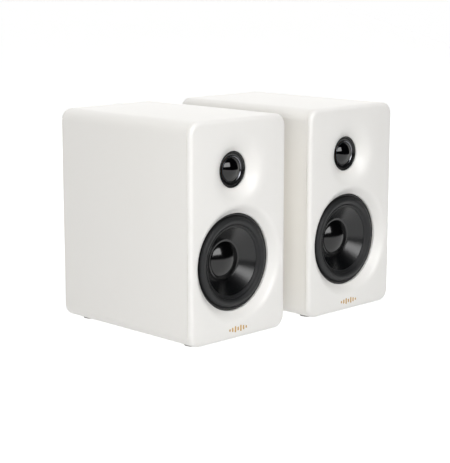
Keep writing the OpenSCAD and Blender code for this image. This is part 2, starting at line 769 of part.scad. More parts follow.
// Internal leads: round tubes along hand-chosen points
lead_sides = 8;
lead_steps = 3;
function unit(v) = v / norm(v);
function between(a, b, c, d, t) = 0.5 * (2 * b + (c - a) * t + (2 * a - 5 * b + 4 * c - d) * t * t
    + (3 * b - a - 3 * c + d) * t * t * t);
function route(p) = [
    for (i = [0:len(p) - 2], j = [0:lead_steps - 1])
        between(p[max(i - 1, 0)], p[i], p[i + 1], p[min(i + 2, len(p) - 1)], j / lead_steps),
    p[len(p) - 1]
];
function ring(c, t) = let (n = unit(cross(t, [1, 0, 0])), b = cross(unit(t), n))
    [for (k = [0:lead_sides - 1]) c + lead_r * (cos(360 * k / lead_sides) * n + sin(360 * k / lead_sides) * b)];

module lead(points) {
    q = route(points);
    last = len(q) - 1;
    s = lead_sides;
    polyhedron(
        [for (i = [0:last]) each ring(q[i], q[min(i + 1, last)] - q[max(i - 1, 0)])],
        concat(
            [[for (k = [0:s - 1]) k]],
            [for (i = [0:last - 1], k = [0:s - 1])
                [i * s + k, (i + 1) * s + k, (i + 1) * s + (k + 1) % s, i * s + (k + 1) % s]],
            [[for (k = [s - 1:-1:0]) last * s + k]]
        )
    );
}

// The leads are drawn for boards whose solder side is this deep. With another depth they stretch or
// shrink behind the drivers, and past the board they keep their distance from it
drawn_solder_y = 124.4;
solder_y = board_y - board_t;
drawn_from_y = shelf_y + 7;
function lead_y(y) = y < drawn_from_y ? y
    : y > drawn_solder_y ? y + solder_y - drawn_solder_y
    : drawn_from_y + (y - drawn_from_y) * (solder_y - drawn_from_y) / (drawn_solder_y - drawn_from_y);

// From the woofer's tab, from the tweeter's flange and from the terminals, to the board
tab_y = shelf_y + 3;
tab_z = woofer_z - 31;
flange_z = tweeter_z - 18;
left_routes = [
    [[3, tab_y, tab_z], [3, tab_y + 4, tab_z], [7, 44, 22], [18, 70, 14], [28, 95, 18], [28, 112, 40],
        [20, 118, 62], [16, 124.4, crossover_z - 16]],
    [[-3, tab_y, tab_z], [-3, tab_y + 4, tab_z], [1, 44, 22], [12, 70, 14], [22, 95, 16], [22, 113, 38],
        [14, 119, 61], [10, 124.4, crossover_z - 17]],
    [[3, cup_y, flange_z], [3, cup_y + 4.8, flange_z], [10, 28, 110], [26, 50, 106], [30, 80, 104],
        [26, 110, 104], [17, 124.4, crossover_z + 14]],
    [[-3, cup_y, flange_z], [-3, cup_y + 4.8, flange_z], [4, 28, 112], [20, 50, 110], [24, 80, 109],
        [18, 110, 108], [8, 124.4, crossover_z + 17]],
    for (s = [LEFT, RIGHT]) [[s * 8, 134, input_z], [s * 8, 131, input_z], [s * 8, 129, input_z + 5],
        [s * 8, 130, input_z + 20], [s * 8, 131, crossover_z - 20], [s * 8, 129, crossover_z - 15],
        [s * 8, 126, crossover_z - 15]]
];
right_routes = [
    [[3, tab_y, tab_z], [3, tab_y + 4, tab_z], [7, 44, 22], [16, 70, 14], [22, 95, 14], [24, 114, 20],
        [24, 124.4, amp_z - 42]],
    [[-3, tab_y, tab_z], [-3, tab_y + 4, tab_z], [1, 44, 22], [11, 70, 14], [17, 95, 14], [20, 114, 20],
        [20, 124.4, amp_z - 42]],
    [[3, cup_y, flange_z], [3, cup_y + 4.8, flange_z], [10, 28, 108], [28, 50, 100], [34, 80, 96],
        [34, 110, 99], [28, 124.4, amp_z + 38]],
    [[-3, cup_y, flange_z], [-3, cup_y + 4.8, flange_z], [4, 28, 109], [22, 50, 103], [29, 80, 100],
        [29, 110, 102], [23, 124.4, amp_z + 39]],
    for (s = [LEFT, RIGHT]) [[s * 8, 126, output_z - 20], [s * 8, 128.5, output_z - 19],
        [s * 8, 131, output_z - 14], [s * 8, 134, output_z - 12]]
];
module leads(routes) color("#a02c28") for (points = routes)
    lead([for (p = points) [p[0], lead_y(p[1]), p[2]]]);

at(LEFT) cabinet();  // left_cabinet
at(LEFT) front_baffle();  // left_front_baffle
at(LEFT) port_tube();  // left_port_tube
at(LEFT) feet();  // left_feet
at_woofer(LEFT) woofer_basket();  // left_woofer_basket
at_woofer(LEFT) woofer_gasket_ring();  // left_woofer_gasket_ring
at_woofer(LEFT) woofer_surround();  // left_woofer_surround
at_woofer(LEFT) woofer_cone();  // left_woofer_cone
at_woofer(LEFT) woofer_dust_cap();  // left_woofer_dust_cap
at_woofer(LEFT) woofer_spider();  // left_woofer_spider
at_woofer(LEFT) woofer_voice_coil();  // left_woofer_voice_coil
at_woofer(LEFT) woofer_top_plate();  // left_woofer_top_plate
at_woofer(LEFT) woofer_magnet();  // left_woofer_magnet
at_woofer(LEFT) woofer_yoke();  // left_woofer_yoke
at_tweeter(LEFT) tweeter_faceplate();  // left_tweeter_faceplate
at_tweeter(LEFT) tweeter_dome();  // left_tweeter_dome
at_tweeter(LEFT) tweeter_voice_coil();  // left_tweeter_voice_coil
at_tweeter(LEFT) tweeter_pole_plate();  // left_tweeter_pole_plate
at_tweeter(LEFT) tweeter_magnet();  // left_tweeter_magnet
at_tweeter(LEFT) tweeter_yoke();  // left_tweeter_yoke
at(LEFT) left_back_panel();
at(LEFT) left_screws();
at(LEFT) leads(left_routes);  // left_leads
at_terminals(LEFT) terminal_block();  // left_terminal_block
at_terminals(LEFT) at_clip(LEFT) clip_lever("#b3261e");  // left_clip_lever_red
at_terminals(LEFT) at_clip(RIGHT) clip_lever("#1c1c1e");  // left_clip_lever_black
at(LEFT) crossover_board();  // left_crossover_board
at(RIGHT) cabinet();  // right_cabinet
at(RIGHT) front_baffle();  // right_front_baffle
at(RIGHT) port_tube();  // right_port_tube
at(RIGHT) feet();  // right_feet
at_woofer(RIGHT) woofer_basket();  // right_woofer_basket
at_woofer(RIGHT) woofer_gasket_ring();  // right_woofer_gasket_ring
at_woofer(RIGHT) woofer_surround();  // right_woofer_surround
at_woofer(RIGHT) woofer_cone();  // right_woofer_cone
at_woofer(RIGHT) woofer_dust_cap();  // right_woofer_dust_cap
at_woofer(RIGHT) woofer_spider();  // right_woofer_spider
at_woofer(RIGHT) woofer_voice_coil();  // right_woofer_voice_coil
at_woofer(RIGHT) woofer_top_plate();  // right_woofer_top_plate
at_woofer(RIGHT) woofer_magnet();  // right_woofer_magnet
at_woofer(RIGHT) woofer_yoke();  // right_woofer_yoke
at_tweeter(RIGHT) tweeter_faceplate();  // right_tweeter_faceplate
at_tweeter(RIGHT) tweeter_dome();  // right_tweeter_dome
at_tweeter(RIGHT) tweeter_voice_coil();  // right_tweeter_voice_coil
at_tweeter(RIGHT) tweeter_pole_plate();  // right_tweeter_pole_plate
at_tweeter(RIGHT) tweeter_magnet();  // right_tweeter_magnet
at_tweeter(RIGHT) tweeter_yoke();  // right_tweeter_yoke
at(RIGHT) right_back_panel();
at(RIGHT) right_screws();
at(RIGHT) leads(right_routes);  // right_leads
at_terminals(RIGHT) terminal_block();  // right_terminal_block
at_terminals(RIGHT) at_clip(LEFT) clip_lever("#b3261e");  // right_clip_lever_red
at_terminals(RIGHT) at_clip(RIGHT) clip_lever("#1c1c1e");  // right_clip_lever_black
at(RIGHT) amp_board();
at(RIGHT) transformer();
at(RIGHT) volume_knob();
at(RIGHT) input_button();
at(RIGHT) power_inlet();
at(RIGHT) power_rocker();
at(RIGHT) input_sockets();
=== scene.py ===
# %% [markdown]
# # A pair of compact two-way desktop speakers
# The imported model is the frame. Every CAD node is already at its place, so this lesson only
# has to make the surfaces look like the real ones: the lacquered shells, the moulded front with
# its two dishes, the rubber, the cones and the glossy caps. What the frame has in the right shape
# keeps its mesh and gets a finish. What needs a softer or finer shape is modelled again here,
# over the same sizes, and stands for its node.

import json
import math

import bmesh
import bpy
from mathutils import Matrix, Vector


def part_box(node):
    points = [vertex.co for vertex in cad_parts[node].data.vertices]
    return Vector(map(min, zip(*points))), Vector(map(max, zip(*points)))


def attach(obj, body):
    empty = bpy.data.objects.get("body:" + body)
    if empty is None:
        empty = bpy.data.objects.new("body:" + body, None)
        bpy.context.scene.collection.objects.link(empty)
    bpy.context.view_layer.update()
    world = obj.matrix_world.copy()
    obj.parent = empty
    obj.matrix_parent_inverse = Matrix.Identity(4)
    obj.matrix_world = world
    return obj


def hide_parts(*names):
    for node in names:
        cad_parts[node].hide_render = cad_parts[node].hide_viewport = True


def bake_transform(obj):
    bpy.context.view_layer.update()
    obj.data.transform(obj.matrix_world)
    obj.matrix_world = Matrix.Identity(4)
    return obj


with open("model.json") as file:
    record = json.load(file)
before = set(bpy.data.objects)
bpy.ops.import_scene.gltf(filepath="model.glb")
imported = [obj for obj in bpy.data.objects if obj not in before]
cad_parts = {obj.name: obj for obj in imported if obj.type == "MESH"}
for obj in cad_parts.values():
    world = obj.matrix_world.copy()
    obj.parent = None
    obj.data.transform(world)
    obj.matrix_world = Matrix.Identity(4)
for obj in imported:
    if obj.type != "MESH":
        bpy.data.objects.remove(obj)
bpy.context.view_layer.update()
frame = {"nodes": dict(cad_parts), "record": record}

# %% [markdown]
# ## Camera
# A product picture of a pair of speakers is taken from the front left, a little above them, with
# a long lens from about a metre, so that the upright edges stay nearly parallel. The camera is
# placed by its target, its distance and two angles, because those are what a photographer moves.

# %% The camera
MM = 0.001


def aim(obj, target):
    """Turns a camera or a lamp so that it looks at the target."""
    obj.rotation_euler = (Vector(target) - obj.location).to_track_quat("-Z", "Y").to_euler()


target = Vector((-5, -3.5, 65.2)) * MM
distance, round_left, above = 1137 * MM, math.radians(44.75), math.radians(10.75)
bpy.ops.object.camera_add()
camera = bpy.context.object
level = distance * math.cos(above)
camera.location = target + Vector((
    -level * math.sin(round_left), -level * math.cos(round_left), distance * math.sin(above)))
aim(camera, target)
camera.data.sensor_width = 36
camera.data.lens = 108.7
bpy.context.scene.camera = camera
print("camera:", [round(v, 3) for v in camera.location])

# %% [markdown]
# ## Colours and shader nodes
# A colour is written as the hex value that a paint chart or a picture editor shows. Blender's
# sockets want linear light, so one function turns the one into the other. Nodes could be wired by
# hand in the shader editor. Here one function adds a node, sets its values and makes its links in
# one line, which keeps each finish short to read.

# %% Two helpers for finishes
def linear(hex_colour):
    """A colour from its sRGB hex value, as linear light with full alpha."""
    channels = [int(hex_colour[i:i + 2], 16) / 255 for i in (1, 3, 5)]
    return [c / 12.92 if c <= 0.04045 else ((c + 0.055) / 1.055) ** 2.4 for c in channels] + [1.0]


def scaled(hex_colour, share):
    """A colour with its light made that many times as strong."""
    return [c * share for c in linear(hex_colour)[:3]] + [1.0]


def add(tree, kind, **settings):
    """Adds a node. A setting named after a socket sets or links it, and any other is a property."""
    node = tree.nodes.new(kind)
    for name, value in settings.items():
        socket = node.inputs.get(name.replace("_", " "))
        if socket is None and name.startswith("in"):
            socket = node.inputs[int(name[2:])]
        if socket is None:
            setattr(node, name, value)
        elif isinstance(value, bpy.types.NodeSocket):
            tree.links.new(value, socket)
        else:
            socket.default_value = value
    return node


def finish(name, colour, **settings):
    """A new material with its Principled shader, and its Object coordinates in metres."""
    material = bpy.data.materials.new(name)
    material.use_nodes = True
    tree = material.node_tree
    tree.nodes.clear()
    shader = add(tree, "ShaderNodeBsdfPrincipled", **settings)
    if colour:
        shader.inputs["Base Color"].default_value = linear(colour)
    add(tree, "ShaderNodeOutputMaterial", Surface=shader.outputs["BSDF"])
    place = add(tree, "ShaderNodeTexCoord").outputs["Object"]
    return material, tree, shader, place


def emboss(tree, shader, height, strength, depth_mm):
    """Lets a pattern's height show as a relief of that depth in millimetres."""
    relief = add(tree, "ShaderNodeBump", Height=height, Strength=strength, Distance=depth_mm * MM)
    tree.links.new(relief.outputs["Normal"], shader.inputs["Normal"])
    return relief


print("linear mid grey:", round(linear("#808080")[0], 3))

# %% [markdown]
# ## Floor, backdrop and lamps
# The pair stands on a plain white table in a bright studio. The table stands square to the camera
# and ends a little over three quarters of a metre to the right, and beyond its edge the room is
# dark, which is what gives the glossy caps their two halves: grey table below, black room above.
# One wide softbox in front makes the highlight on each cap and the fan of light on each cone. The
# lamps round the pair fill the white shells. They could be real softboxes too, but then each would
# leave a mark of its own on the caps, so they stay out of reflections.

# %% The table
bpy.ops.object.select_all(action="DESELECT")
table_across, table_along, square_to_camera = 4.4, 20.3, math.radians(-45)
bpy.ops.mesh.primitive_plane_add(size=1, location=(4.55, 6.55, 0), rotation=(0, 0, square_to_camera))
table = bpy.context.object
table.name = "table"
table.scale = (table_across, table_along, 1)
bpy.ops.object.transform_apply(location=True, rotation=True, scale=True)
table.visible_diffuse = False
paper, tree, shader, place = finish("matte white paper", "#F7F7F6", Roughness=0.9)
grain = add(tree, "ShaderNodeTexNoise", Vector=place, Scale=1 / (1.1 * MM), Detail=2.0)
emboss(tree, shader, grain.outputs["Fac"], 0.05, 0.2)
shader.inputs["Emission Color"].default_value = linear("#FFFFFF")
shader.inputs["Emission Strength"].default_value = 0.68
table.data.materials.append(paper)
print("table:", table_across, "by", table_along, "m")

# %% The lamps
PAIR_MIDDLE = Vector((0, 0, 90)) * MM


def softbox(name, direction, away, wide, high, power):
    """A flat lamp of so many watts in a direction from the speakers. It gives light and no reflection."""
    bpy.ops.object.light_add(type="AREA")
    lamp = bpy.context.object
    lamp.name = name
    lamp.data.shape = "RECTANGLE"
    lamp.data.size, lamp.data.size_y = wide, high
    lamp.data.energy = power
    lamp.location = PAIR_MIDDLE + away * Vector(direction).normalized()
    aim(lamp, PAIR_MIDDLE)
    lamp.visible_glossy = lamp.visible_camera = False
    return lamp


card = softbox("reflected_card", (-0.16, -0.91, 0.38), 1.25, 0.9, 0.46, 9.0)
card.visible_glossy, card.visible_diffuse = True, False
softbox("overhead", (0.0, -0.35, 0.94), 1.4, 1.0, 1.0, 9.2)
softbox("front_left", (-0.73, -0.67, 0.06), 1.4, 0.7, 0.7, 9.6)
softbox("front_right", (0.62, -0.74, 0.10), 1.4, 0.7, 0.7, 1.0)
softbox("left_side", (-0.98, 0.1, 0.10), 1.4, 0.7, 0.7, 1.3)
softbox("behind", (0.30, 0.92, 0.22), 1.4, 0.8, 0.8, 7.0)

# %% [markdown]
# A picture of a room could light the scene, but three plain answers do: one for a ray from the
# camera, one for a mirrored ray and one for all the rest. Mirrored rays see a room that is dark
# towards the camera and bright behind the pair. The rest of the light comes mostly from below, as
# it does over a white table.

# %% The room
world = bpy.data.worlds.new("studio")
bpy.context.scene.world = world
world.use_nodes = True
tree = world.node_tree
tree.nodes.clear()
path = add(tree, "ShaderNodeLightPath")
looking = add(tree, "ShaderNodeSeparateXYZ", Vector=add(tree, "ShaderNodeTexCoord").outputs["Generated"])
backdrop = add(
    tree, "ShaderNodeMapRange", Value=looking.outputs["Y"],
    From_Min=-0.25, From_Max=0.25, To_Min=0.015, To_Max=1.9)
mirrored = add(tree, "ShaderNodeBackground", Strength=backdrop.outputs["Result"])
bounce = add(
    tree, "ShaderNodeMapRange", Value=looking.outputs["Z"],
    From_Min=-0.2, From_Max=0.2, To_Min=0.72, To_Max=0.36)
air = add(tree, "ShaderNodeBackground", Strength=bounce.outputs["Result"])
white = add(tree, "ShaderNodeBackground", Color=linear("#FFFFFF"), Strength=1.0)
room = add(tree, "ShaderNodeMixShader", Fac=path.outputs["Is Glossy Ray"])
tree.links.new(air.outputs["Background"], room.inputs[1])
tree.links.new(mirrored.outputs["Background"], room.inputs[2])
seen = add(tree, "ShaderNodeMixShader", Fac=path.outputs["Is Camera Ray"])
tree.links.new(room.outputs["Shader"], seen.inputs[1])
tree.links.new(white.outputs["Background"], seen.inputs[2])
add(tree, "ShaderNodeOutputWorld", Surface=seen.outputs["Shader"])
bpy.context.scene.view_settings.view_transform = "Standard"
bpy.context.scene.cycles.diffuse_bounces = 8
print("room:", len(tree.nodes), "nodes")

# %% [markdown]
# ## White finishes
# The shell is board wrapped and lacquered in a warm satin white, and the front is a moulded part
# painted to match. Sprayed lacquer is never quite flat: its "orange peel" has waves of one to two
# millimetres that only show in the highlights. A very faint drift of tone, a hand's breadth wide,
# keeps the wide sides from looking printed. A coat layer could give the lacquer a second gloss,
# but satin lacquer has only one, so roughness alone does it.

# %% Satin white
def satin_white(name, colour, shade, roughness):
    """Lacquer that drifts between two close tones."""
    material, tree, shader, place = finish(name, None, IOR=1.5)
    drift = add(tree, "ShaderNodeTexNoise", Vector=place, Scale=1 / (110 * MM), Detail=3.0)
    tone = add(tree, "ShaderNodeMix", data_type="RGBA", Factor=drift.outputs["Fac"])
    tone.inputs[6].default_value = linear(colour)
    tone.inputs[7].default_value = linear(shade)
    tree.links.new(tone.outputs[2], shader.inputs["Base Color"])
    peel = add(tree, "ShaderNodeTexNoise", Vector=place, Scale=1 / (1.54 * MM), Detail=2.0, Roughness=0.45)
    emboss(tree, shader, peel.outputs["Fac"], 0.12, 0.2)
    haze = add(
        tree, "ShaderNodeMapRange", Value=drift.outputs["Fac"],
        To_Min=roughness - 0.04, To_Max=roughness + 0.04)
    tree.links.new(haze.outputs["Result"], shader.inputs["Roughness"])
    return material


shell_white = satin_white("satin white lacquer", "#F6F4F0", "#F4F2ED", 0.40)
front_white = satin_white("painted white front", "#F6F4F1", "#F4F3EF", 0.36)
print("whites:", shell_white.name, "and", front_white.name)

# %% [markdown]
# ## Black plastics, rubber and paper
# All the dark pieces are near black, and what tells them apart is how they scatter light. Moulded
# parts carry the fine spark-eroded grain of their tool, drawn at a quarter to half a millimetre,
# about twice the real size, so that it shows. Rubber is duller, with a soft sheen at grazing
# angles. The caps are polished, so their grain is almost nothing. The frame's mouldings have
# edges sharper than a tool can make. They could be bevelled one by one, but a Bevel node eases
# them all in the shading.

# %% Grained blacks
def grained(name, colour, roughness, grain_mm, strength, sheen=0.0, ior=1.5, edge_mm=0.0):
    """A moulding with a grain of that size and strength, and its edges eased by so many millimetres."""
    material, tree, shader, place = finish(name, None, IOR=ior)
    grain = add(tree, "ShaderNodeTexNoise", Vector=place, Scale=1 / (grain_mm * MM), Detail=3.0)
    tone = add(tree, "ShaderNodeValToRGB", Fac=grain.outputs["Fac"])
    low, high = tone.color_ramp.elements
    low.position, high.position = 0.3, 0.75
    low.color, high.color = scaled(colour, 0.8), scaled(colour, 1.25)
    tree.links.new(tone.outputs["Color"], shader.inputs["Base Color"])
    relief = emboss(tree, shader, grain.outputs["Fac"], strength, 0.1)
    if edge_mm:
        eased = add(tree, "ShaderNodeBevel", samples=6, Radius=edge_mm * MM)
        tree.links.new(eased.outputs["Normal"], relief.inputs["Normal"])
    shader.inputs["Roughness"].default_value = roughness
    shader.inputs["Sheen Weight"].default_value = sheen
    shader.inputs["Sheen Roughness"].default_value = 0.4
    return material


panel_black = grained("textured black ABS panel", "#1B1B1D", 0.50, 0.35, 0.5, edge_mm=0.4)
moulded_black = grained("moulded black ABS", "#111113", 0.34, 0.25, 0.25, edge_mm=0.4)
foot_rubber = grained("soft grey foot rubber", "#8E8D8B", 0.75, 0.4, 0.3, 0.2)
gasket_black = grained("pressed black gasket", "#060607", 0.5, 0.3, 0.4)
surround_rubber = grained("butyl surround rubber", "#0E0F11", 0.52, 0.30, 0.15, 0.03, ior=1.42)
cone_poly = grained("black polypropylene cone", "#060709", 0.25, 0.20, 0.03, ior=1.46)
cap_gloss = grained("polished black cap", "#040405", 0.14, 0.15, 0.01, ior=1.46)
dome_gloss = grained("polished black dome", "#030304", 0.07, 0.15, 0.005, ior=1.46)
ring_gloss = grained("satin black ring", "#050506", 0.26, 0.20, 0.02, ior=1.46)
knob_black = grained("rubberised black knob", "#18181A", 0.42, 0.2, 0.3, 0.1, edge_mm=0.4)
rocker_black = grained("glossy black rocker", "#0D0D0E", 0.22, 0.3, 0.05, edge_mm=0.3)
lever_red = grained("red clip ABS", "#B3161B", 0.30, 0.3, 0.1, edge_mm=0.4)
lever_black = grained("black clip ABS", "#121214", 0.30, 0.3, 0.1, edge_mm=0.4)
basket_black = grained("powder-coated steel", "#17181A", 0.5, 0.5, 0.6)
ferrite = grained("sintered ferrite", "#2C2D30", 0.65, 0.3, 0.5)
lead_pvc = grained("soft PVC lead cover", "#8E1B1E", 0.42, 0.4, 0.05)
print("blacks:", sum("black" in material.name for material in bpy.data.materials))

# %% [markdown]
# ## Metals, copper, cloth and board
# Plated or bare steel keeps the default IOR and takes its look from Metallic and Roughness.
# The coil is enamelled copper wire wound side by side, the spider is cotton stiffened with amber
# resin, and the boards are green fibreglass with copper tracks under the mask. Pictures of wire,
# cloth and tracks could be wrapped round the pieces, but waves and bricks need no seams.

# %% Metals
def metal(name, colour, roughness, scratch_mm, stretch=(1, 1, 1)):
    """A metal with fine marks left by its making, stretched along an axis where it was turned."""
    material, tree, shader, place = finish(name, colour, Metallic=1.0)
    along = add(tree, "ShaderNodeMapping", Vector=place)
    along.inputs["Scale"].default_value = stretch
    marks = add(
        tree, "ShaderNodeTexNoise", Vector=along.outputs["Vector"], Scale=1 / (scratch_mm * MM), Detail=4.0)
    dull = add(
        tree, "ShaderNodeMapRange", Value=marks.outputs["Fac"],
        To_Min=roughness - 0.08, To_Max=roughness + 0.10)
    tree.links.new(dull.outputs["Result"], shader.inputs["Roughness"])
    return material


plated_steel = metal("zinc-plated steel", "#B9BBBE", 0.32, 0.8)
nickel = metal("nickel plating", "#C9C7C2", 0.2, 0.8)
screw_steel = metal("black zinc screws", "#3A3A3D", 0.36, 0.4)
core_steel = metal("stacked transformer steel", "#6C6E72", 0.45, 0.5, (0.05, 1, 0.05))
button_silver = metal("satin silver button", "#C6C8CB", 0.3, 0.3)
gold_foil = metal("hot-stamped gold foil", "#C0A170", 0.45, 0.3)
trim_metal = metal("smoked chrome trim", "#6A6B6F", 0.22, 0.3)
print("metals:", sum("steel" in material.name for material in bpy.data.materials), "kinds of steel")

# %% Copper wire and white ink
WAVES_PER_UNIT = 20  # a Wave texture's own count of bands at scale 1

coil_copper, tree, shader, place = finish("enamelled copper wire", "#B4693A", Metallic=1.0, Roughness=0.28)
wire_mm = 0.25
turns = add(
    tree, "ShaderNodeTexWave", Vector=place, bands_direction="Y", Scale=1 / (wire_mm * MM * WAVES_PER_UNIT))
emboss(tree, shader, turns.outputs["Fac"], 0.6, 0.1)

white_ink, tree, shader, place = finish("silk-screened white ink", "#DEDDD8", Roughness=0.55)
screen = add(tree, "ShaderNodeTexNoise", Vector=place, Scale=1 / (0.2 * MM), Detail=2.0)
emboss(tree, shader, screen.outputs["Fac"], 0.2, 0.05)
print("wire of", wire_mm, "mm")

# %% Cotton cloth
spider_cotton, tree, shader, place = finish("resin-dipped cotton", None, Roughness=0.7)
thread_mm = 0.7
warp, weft = (add(
    tree, "ShaderNodeTexWave", Vector=place, bands_direction=direction,
    Scale=1 / (thread_mm * MM * WAVES_PER_UNIT)).outputs["Fac"] for direction in "XZ")
weave = add(tree, "ShaderNodeMath", operation="MAXIMUM", in0=warp, in1=weft).outputs["Value"]
tone = add(tree, "ShaderNodeValToRGB", Fac=weave)
tone.color_ramp.elements[0].color = linear("#8A5F22")
tone.color_ramp.elements[1].color = linear("#D3A75A")
tree.links.new(tone.outputs["Color"], shader.inputs["Base Color"])
emboss(tree, shader, weave, 0.5, 0.2)
print("threads of", thread_mm, "mm")

# %% Circuit board
board_green, tree, shader, place = finish("green solder mask", None, Roughness=0.32)
track_pitch_mm = 3.125
tracks = add(
    tree, "ShaderNodeTexBrick", Vector=place, Scale=0.5 / (track_pitch_mm * MM),
    Mortar_Size=0.06, Mortar_Smooth=0.1,
    Color1=linear("#1F5E38"), Color2=linear("#246B41"), Mortar=linear("#3F8A57"))
tree.links.new(tracks.outputs["Color"], shader.inputs["Base Color"])
print("finishes:", len(bpy.data.materials))

# %% [markdown]
# ## Finishes on the frame's own nodes
# The record gives each node a material slot. Each node could be painted by name, but painting by
# slot can't miss one: a node whose shape is right takes the finish made for its slot. The cup
# behind each tweeter takes the baskets' black as painted shade, which stands for the dark inside
# the box, so that it doesn't shine through the port.

# %% Paint the nodes
FINISHES = {
    "shell_white": shell_white, "baffle_white": front_white, "panel_black": panel_black,
    "moulded_black": moulded_black, "foot_rubber": foot_rubber, "basket_black": basket_black,
    "gasket_black": gasket_black, "surround_rubber": surround_rubber,
    "cone_polypropylene": cone_poly, "cap_gloss": cap_gloss, "spider_cotton": spider_cotton,
    "coil_copper": coil_copper, "plated_steel": plated_steel, "ferrite": ferrite, "nickel": nickel,
    "dome_gloss": dome_gloss, "screw_steel": screw_steel, "lead_pvc": lead_pvc,
    "board_green": board_green, "core_steel": core_steel, "lever_red": lever_red,
    "lever_black": lever_black, "knob_black": knob_black, "button_silver": button_silver,
    "rocker_black": rocker_black,
}
for node in frame["nodes"].values():
    slot = node.material_slots[0]
    slot.material = FINISHES[slot.material.name.split(".")[0]]
# The tweeter cups take the baskets' black as painted shade for the dark inside the box.
for side in ("left", "right"):
    frame["nodes"][side + "_tweeter_yoke"].material_slots[0].material = basket_black
print("painted:", len(frame["nodes"]), "nodes")

# %% [markdown]
# ## Tools for the bench
# The speakers look the same from the front, so each piece there is modelled once on the left
# speaker and copied to the right. A mirror modifier would do it too, but it turns faces round and
# the pair isn't mirrored. Places are given in the speaker's own millimetres: across from its
# centreline, back from its face and up from the table.

# %% Places on a speaker
left_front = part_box("left_front_baffle")
right_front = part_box("right_front_baffle")
axis_x = (left_front[0].x + left_front[1].x) / 2
face_y = left_front[0].y
to_right = Vector((right_front[0].x - left_front[0].x, 0, 0))


def at(x, y, z):
    """A point of the left speaker, from its own millimetres."""
    return Vector((axis_x + x * MM, face_y + y * MM, z * MM))


def place_of(node):
    """The box of a node, as low and high corners in its own speaker's millimetres."""
    shift = Vector() if node.startswith("left") else to_right
    return [(corner - shift - at(0, 0, 0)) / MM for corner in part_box(node)]


woofer_z = sum(corner.z for corner in place_of("left_woofer_magnet")) / 2
tweeter_z = sum(corner.z for corner in place_of("left_tweeter_magnet")) / 2
print("woofer axis", round(woofer_z, 2), "mm and tweeter axis", round(tweeter_z, 2), "mm above the table")

# %% Selection by place
def only(*objects):
    """Goes back to object mode and selects these objects and nothing else."""
    if bpy.context.mode != "OBJECT":
        bpy.ops.object.mode_set(mode="OBJECT")
    bpy.ops.object.select_all(action="DESELECT")
    for obj in objects:
        obj.select_set(True)
    bpy.context.view_layer.objects.active = objects[0]


def settle(obj, name):
    """Names a new piece and moves its place, turn and scale into its mesh."""
    obj.name = obj.data.name = name
    only(obj)
    bpy.ops.object.transform_apply(location=True, rotation=True, scale=True)
    return obj


def open_mesh(obj, kind):
    """Goes into edit mode on a piece with nothing selected, and returns its mesh."""
    only(obj)
    bpy.ops.object.mode_set(mode="EDIT")
    bpy.ops.mesh.select_mode(type=kind)
    bpy.ops.mesh.select_all(action="DESELECT")
    return bmesh.from_edit_mesh(obj.data)


def pick_faces(obj, test):
    """Selects the faces whose middle, in the speaker's millimetres, and normal pass."""
    for face in open_mesh(obj, "FACE").faces:
        face.select_set(test((face.calc_center_median() - at(0, 0, 0)) / MM, face.normal))
    bmesh.update_edit_mesh(obj.data)


def pick_edges(obj, test, rims_only=False):
    """Selects the edges whose two ends, in the speaker's millimetres, pass, or only open rims."""
    for edge in open_mesh(obj, "EDGE").edges:
        a, b = ((vert.co - at(0, 0, 0)) / MM for vert in edge.verts)
        edge.select_set(test(a, b) and (edge.is_boundary or not rims_only))
    bmesh.update_edit_mesh(obj.data)


def pick_rims(obj, test=lambda a, b: True):
    """Selects the open edges whose two ends pass."""
    pick_edges(obj, test, rims_only=True)


def done(obj, angle=35):
    """Leaves edit mode and shades the piece smooth up to an angle between faces."""
    bpy.ops.object.mode_set(mode="OBJECT")
    only(obj)
    bpy.ops.object.shade_smooth_by_angle(angle=math.radians(angle))
    return obj


# %% Copies and bodies
CABINETS = {"left": "passive_speaker", "right": "active_speaker"}


def paint(obj, material):
    """Gives a piece its one finish."""
    obj.data.materials.clear()
    obj.data.materials.append(material)


def pair(obj, material):
    """Paints a left piece, copies it to the right speaker, and returns both by side."""
    paint(obj, material)
    twin = obj.copy()
    twin.data = obj.data.copy()
    bpy.context.scene.collection.objects.link(twin)
    twin.data.transform(Matrix.Translation(to_right))
    twin.name = twin.data.name = obj.name.replace("left", "right")
    return {"left": obj, "right": twin}


def mount(obj, material, body, node=None):
    """Pairs a left piece. Each rides on its cabinet or that body, and stands for the node."""
    for side, piece in pair(obj, material).items():
        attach(piece, CABINETS[side] if body == "cabinet" else f"{side}_{body}")
        if node:
            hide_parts(f"{side}_{node}")


print("cabinets ride on", " and ".join(CABINETS.values()))

# %% [markdown]
# ## Round pieces
# A driver is made of turned and deep-drawn rings, all on one axis. By hand such a ring starts as
# a circle whose edge is extruded, moved along the axis and scaled, again and again, like pulling
# up a pot on a wheel. A Spin or Screw round an outline would give the same, but it leaves a seam
# and poles to weld. The tool below pulls the circle through a list of radii and depths. A radius
# of nought closes a pole, and a list that ends where it began closes a ring.

# %% Pull a round shape
def circle(name, sides, radius, x, y, z):
    """A ring of edges that faces the front, all selected in edit mode."""
    bpy.ops.object.select_all(action="DESELECT")
    bpy.ops.mesh.primitive_circle_add(
        vertices=sides, radius=radius * MM, location=at(x, y, z), rotation=(math.pi / 2, 0, 0))
    ring = settle(bpy.context.object, name)
    open_mesh(ring, "EDGE")
    bpy.ops.mesh.select_all(action="SELECT")
    return ring


def step_back(depth, grow=1.0, centre=None):
    """Extrudes the selected edges back by so many millimetres, and makes them grow about a centre."""
    bpy.ops.mesh.extrude_edges_move(TRANSFORM_OT_translate={"value": (0, depth * MM, 0)})
    if grow != 1:
        bpy.ops.transform.resize(value=(grow, 1, grow), center_override=centre)


